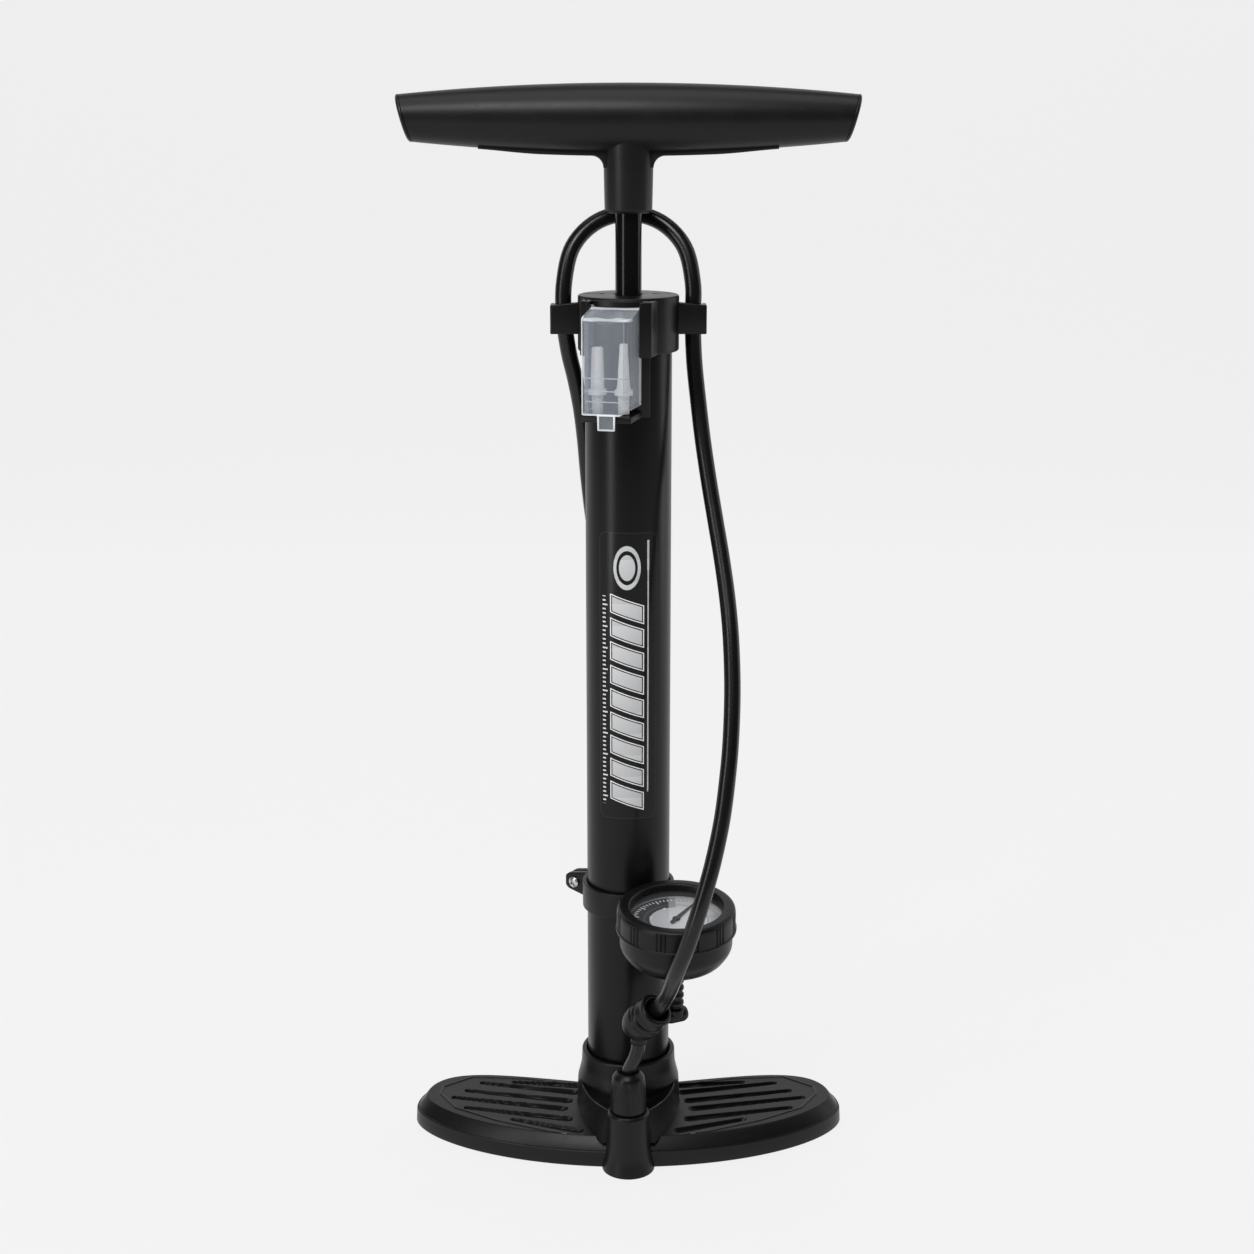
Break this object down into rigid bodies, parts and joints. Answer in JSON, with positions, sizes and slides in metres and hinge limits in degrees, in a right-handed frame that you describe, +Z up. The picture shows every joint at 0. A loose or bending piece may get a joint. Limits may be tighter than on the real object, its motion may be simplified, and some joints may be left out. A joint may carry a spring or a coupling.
{
  "type": "floor pump",
  "caption": "Upright hand pump with a T handle, steel barrel, winged foot base, dial gauge, hose with lever chuck and a clear accessory box.",
  "frame": {"origin": "on the barrel's axis, in the plane of the base's flat underside", "axes": "+Z up along the barrel, -Y to the front where the gauge stands, X along the handle"},
  "size_m": [0.226, 0.1333, 0.536],
  "materials": {
    "foot_base": "satin black moulded plastic, fine grain",
    "barrel_gasket": "black rubber",
    "barrel_tube": "satin black paint on steel tube",
    "check_valve_seat": "turned brass",
    "check_valve_ball": "polished steel",
    "check_valve_spring": "drawn steel wire",
    "outlet_nipple": "turned brass",
    "outlet_nut": "satin black moulded plastic",
    "feed_hose": "semi-gloss black rubber",
    "tee_fitting": "satin black moulded plastic",
    "tee_nut": "satin black moulded plastic",
    "gauge_stem": "ribbed black rubber",
    "gauge_case": "satin black moulded plastic",
    "clamp_screw": "bright zinc plate",
    "clamp_nut": "bright zinc plate",
    "gauge_bezel": "satin black moulded plastic, fluted edge",
    "gauge_lens": "clear polycarbonate",
    "gauge_dial": "silver print on sheet metal",
    "gauge_needle": "black paint on sheet metal",
    "needle_arbor": "turned brass",
    "gauge_bourdon_tube": "drawn brass",
    "gauge_movement_plate": "stamped brass",
    "gauge_socket": "cast brass",
    "top_cap": "satin black moulded plastic",
    "rod_bush": "natural white nylon",
    "accessory_bracket": "satin black moulded plastic",
    "accessory_cover": "clear, slightly frosted plastic",
    "cone_nozzle": "milky white plastic",
    "valve_adapter": "milky white plastic",
    "air_hose": "semi-gloss black rubber",
    "hose_ferrule": "crimped steel sleeve",
    "chuck_body": "satin black moulded plastic",
    "chuck_cap": "satin black moulded plastic",
    "chuck_rubber": "black rubber",
    "chuck_lever_pin": "steel pin",
    "piston_head": "natural white nylon",
    "piston_cup": "greased black rubber",
    "piston_washer": "zinc plate",
    "piston_nut": "zinc plate",
    "rod_foot": "turned steel",
    "piston_rod": "gloss black paint on steel tube",
    "stop_bumper": "black rubber",
    "handle_yoke": "satin black moulded plastic",
    "handle_grip": "satin black moulded plastic, fine grain",
    "handle_end_cap_left": "satin black moulded plastic",
    "handle_end_cap_right": "satin black moulded plastic",
    "handle_pin": "steel pin",
    "chuck_lever": "satin black moulded plastic"
  },
  "bodies": {
    "frame": {"foot_base": "foot_base", "barrel_gasket": "barrel_gasket", "barrel_tube": "barrel_tube", "check_valve_seat": "check_valve_seat", "check_valve_spring": "check_valve_spring", "outlet_nipple": "outlet_nipple", "outlet_nut": "outlet_nut", "feed_hose": "feed_hose", "tee_fitting": "tee_fitting", "tee_nut": "tee_nut", "gauge_stem": "gauge_stem", "gauge_case": "gauge_case", "clamp_screw": "clamp_screw", "clamp_nut": "clamp_nut", "gauge_bezel": "gauge_bezel", "gauge_lens": "gauge_lens", "gauge_dial": "gauge_dial", "gauge_bourdon_tube": "gauge_bourdon_tube", "gauge_movement_plate": "gauge_movement_plate", "gauge_socket": "gauge_socket", "top_cap": "top_cap", "rod_bush": "rod_bush", "accessory_bracket": "accessory_bracket", "cone_nozzle": "cone_nozzle", "valve_adapter": "valve_adapter", "air_hose": "air_hose", "hose_ferrule": "hose_ferrule", "chuck_body": "chuck_body", "chuck_cap": "chuck_cap", "chuck_rubber": "chuck_rubber", "chuck_lever_pin": "chuck_lever_pin"},
    "plunger": {"piston_head": "piston_head", "piston_cup": "piston_cup", "piston_washer": "piston_washer"},
    "handle": {"piston_rod": "piston_rod", "rod_foot": "rod_foot", "piston_nut": "piston_nut", "stop_bumper": "stop_bumper", "handle_yoke": "handle_yoke", "handle_grip": "handle_grip", "handle_end_cap_left": "handle_end_cap_left", "handle_end_cap_right": "handle_end_cap_right", "handle_pin": "handle_pin"},
    "cover": {"accessory_cover": "accessory_cover"},
    "needle": {"gauge_needle": "gauge_needle", "needle_arbor": "needle_arbor"},
    "ball": {"check_valve_ball": "check_valve_ball"},
    "lever": {"chuck_lever": "chuck_lever"}
  },
  "joints": [
    {"name": "plunger_slide", "type": "slide", "parent": "frame", "child": "plunger", "axis": [0, 0, 1], "range_m": [0, 0.365]},
    {"name": "handle_turn", "type": "hinge", "parent": "plunger", "child": "handle", "pos_m": [0, 0, 0.46], "axis": [0, 0, 1], "continuous": true},
    {"name": "cover_hinge", "type": "hinge", "parent": "frame", "child": "cover", "pos_m": [-0.00745, -0.02782, 0.432], "axis": [-0.9659, 0.2588, 0], "range_deg": [0, 100]},
    {"name": "gauge_needle_turn", "type": "hinge", "parent": "frame", "child": "needle", "pos_m": [0.0237, -0.04852, 0.1423], "axis": [0, 0.0941, -0.9956], "range_deg": [0, 260], "stiffness_Nm_per_rad": 0.0001},
    {"name": "chuck_lever_turn", "type": "hinge", "parent": "frame", "child": "lever", "pos_m": [-0.014, 0.0335, 0.208], "axis": [0, 1, 0], "range_deg": [0, 90]},
    {"name": "check_valve_lift", "type": "slide", "parent": "frame", "child": "ball", "axis": [0, 0, 1], "range_m": [0, 0.002], "stiffness_N_per_m": 50, "springref_m": -0.001, "deforming": ["check_valve_spring"]}
  ]
}
